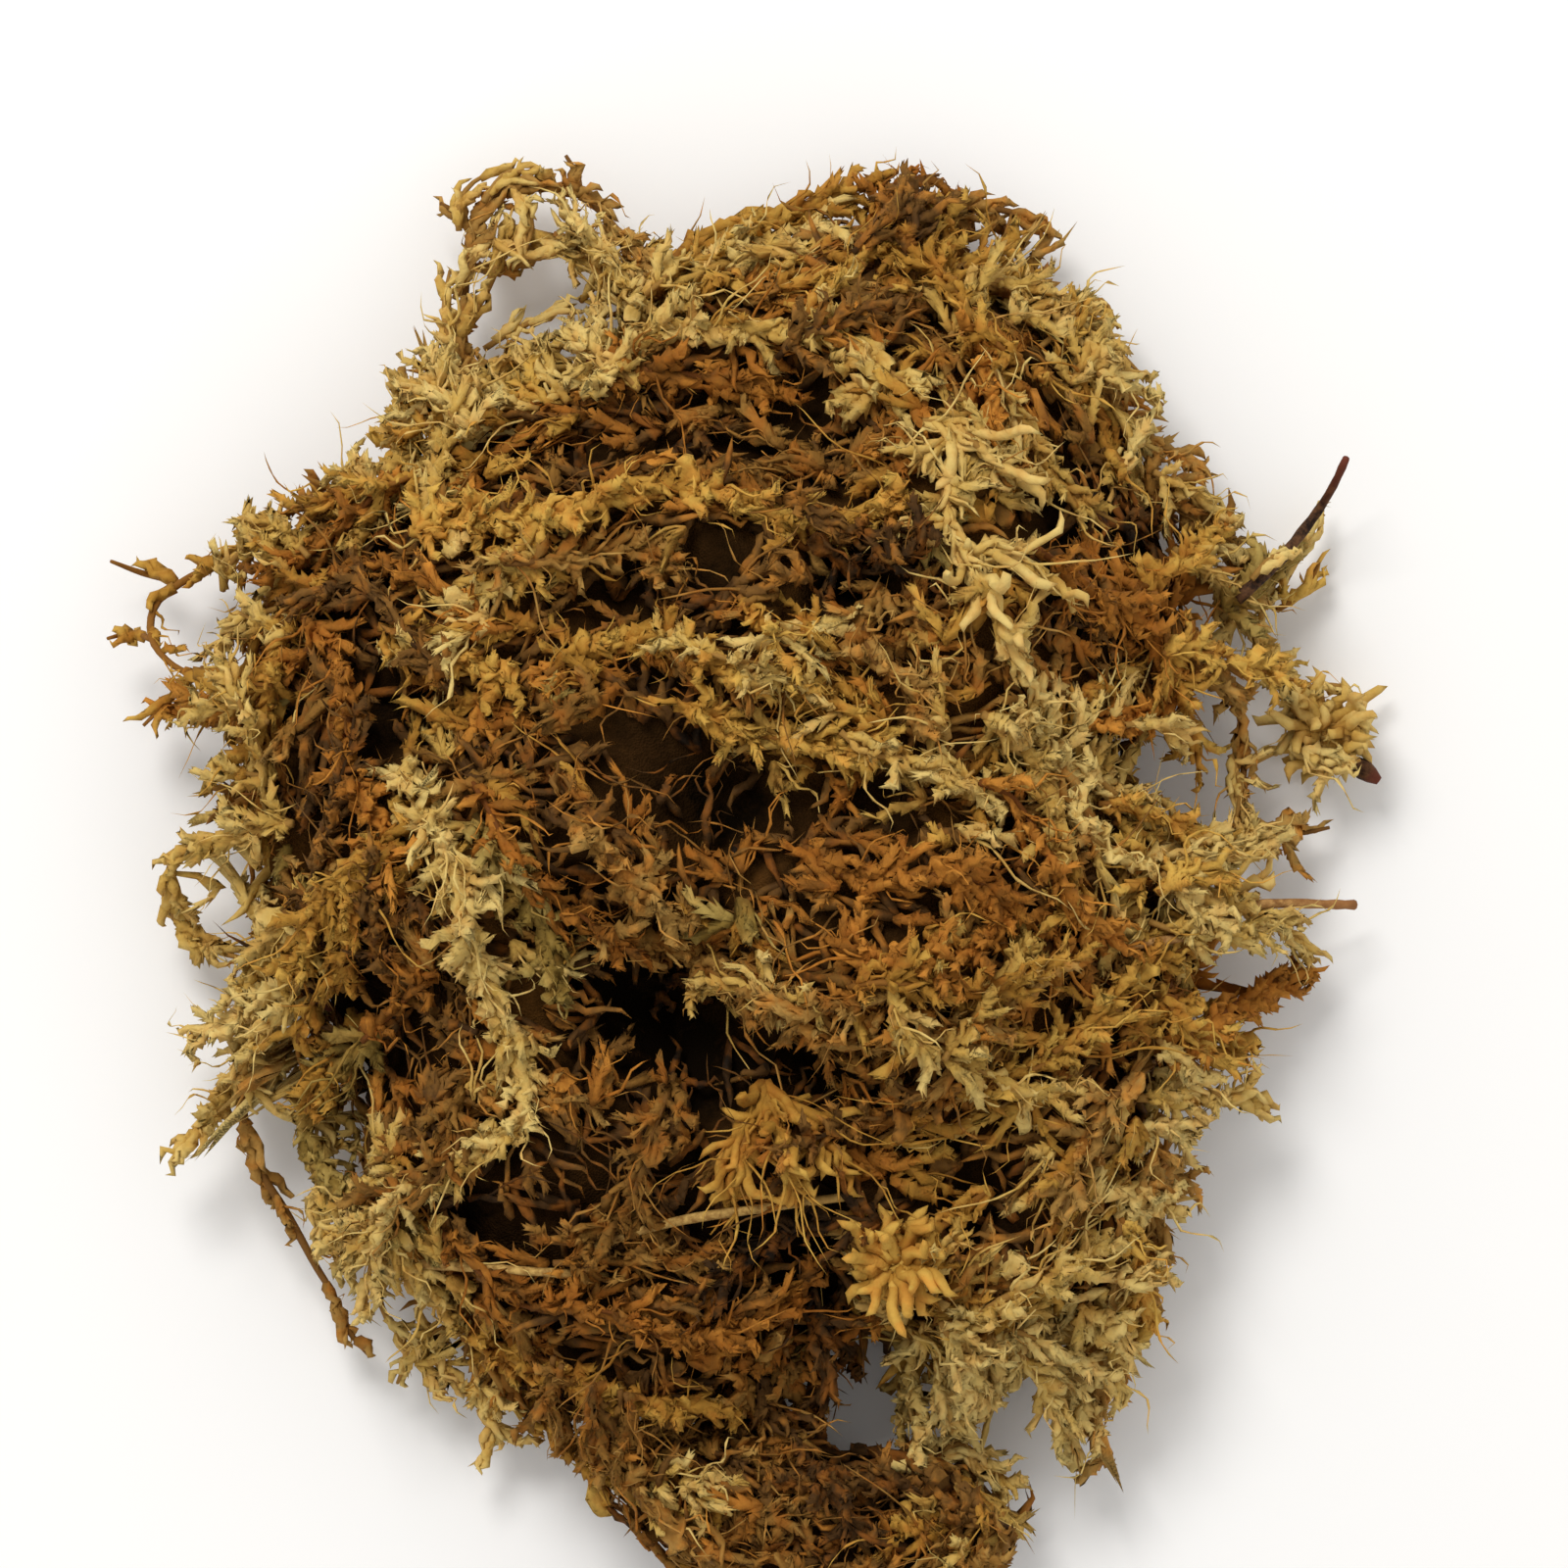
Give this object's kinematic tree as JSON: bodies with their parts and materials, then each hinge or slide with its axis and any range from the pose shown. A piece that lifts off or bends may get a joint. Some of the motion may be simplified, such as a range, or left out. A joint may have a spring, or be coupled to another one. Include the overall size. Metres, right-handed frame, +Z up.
{
  "type": "sphagnum moss clump",
  "caption": "Dried sphagnum moss clump: a lumpy mat with leafy straw, gold and rust strands draped over it, open loops at its rim, resting on a small flat spot.",
  "frame": {"origin": "on the flat spot that the clump rests on, under the middle of its outline", "axes": "+Z up, away from the resting spot; +Y along the clump's length, towards the end with the lacy loop; +X to the right seen from above"},
  "size_m": [0.1322, 0.1512, 0.0459],
  "materials": {
    "moss_straw": "dry, matt, pale straw leaves",
    "moss_gold": "dry, matt, golden leaves",
    "moss_tan": "dry, matt, tan leaves",
    "moss_rust": "dry, matt, rust brown leaves",
    "moss_umber": "dark, matt, half decayed leaves",
    "moss_grey_green": "dry, matt, grey green leaves",
    "dark_litter": "dark, weathered twig and root",
    "brown_litter": "bare brown stem",
    "pale_litter": "bare straw coloured stem"
  },
  "bodies": {
    "root": {"matted_moss": "moss_umber", "hollow_rust_strand": "moss_rust", "west_rust_strand": "moss_rust", "west_curtain_strand": "moss_gold", "west_inner_strand": "moss_rust", "north_east_rust_strand": "moss_rust", "east_rust_strand": "moss_rust", "middle_rust_strand": "moss_rust", "south_rust_strand": "moss_rust", "south_east_rust_strand": "moss_rust", "left_loop_strand": "moss_gold", "lace_strand": "moss_tan", "lace_net_strand": "moss_straw", "north_crest_strand": "moss_gold", "north_east_crest_strand": "moss_tan", "north_tuft_strand": "moss_gold", "arch_west_strand": "moss_straw", "arch_east_strand": "moss_straw", "north_west_flank_strand": "moss_straw", "ridge_strand": "moss_gold", "east_fork_strand": "moss_straw", "pale_strand": "moss_straw", "middle_tuft_strand": "moss_tan", "west_ridge_strand": "moss_gold", "middle_ridge_strand": "moss_gold", "centre_strand": "moss_gold", "east_pale_strand": "moss_straw", "hanging_rope_strand": "moss_straw", "rope_side_strand": "moss_grey_green", "west_fan_strand": "moss_gold", "middle_band_west_strand": "moss_tan", "middle_band_strand": "moss_tan", "south_fan_strand": "moss_gold", "south_head_strand": "moss_gold", "south_east_sheaf_strand": "moss_straw", "south_edge_strand": "moss_straw", "hay_strand": "moss_tan", "south_band_strand": "moss_gold", "south_west_strand": "moss_grey_green", "south_west_edge_strand": "moss_straw", "west_chain_strand": "moss_straw", "west_fringe_strand": "moss_straw", "long_hanging_strand": "moss_tan", "east_shoulder_strand": "moss_tan", "east_edge_strand": "moss_tan", "east_rope_strand": "moss_straw", "east_tuft_strand": "moss_grey_green", "east_hanging_strand": "moss_tan", "east_curl_strand": "moss_straw", "east_low_strand": "moss_straw", "south_east_flank_strand": "moss_tan", "lobe_upper_strand": "moss_umber", "lobe_lower_strand": "moss_tan", "lobe_west_strand": "moss_gold", "dark_twig": "dark_litter", "bare_brown_stem": "brown_litter", "west_pale_stem": "pale_litter", "south_pale_stem": "pale_litter", "dark_root": "dark_litter", "dark_bud": "dark_litter"}
  },
  "joints": []
}
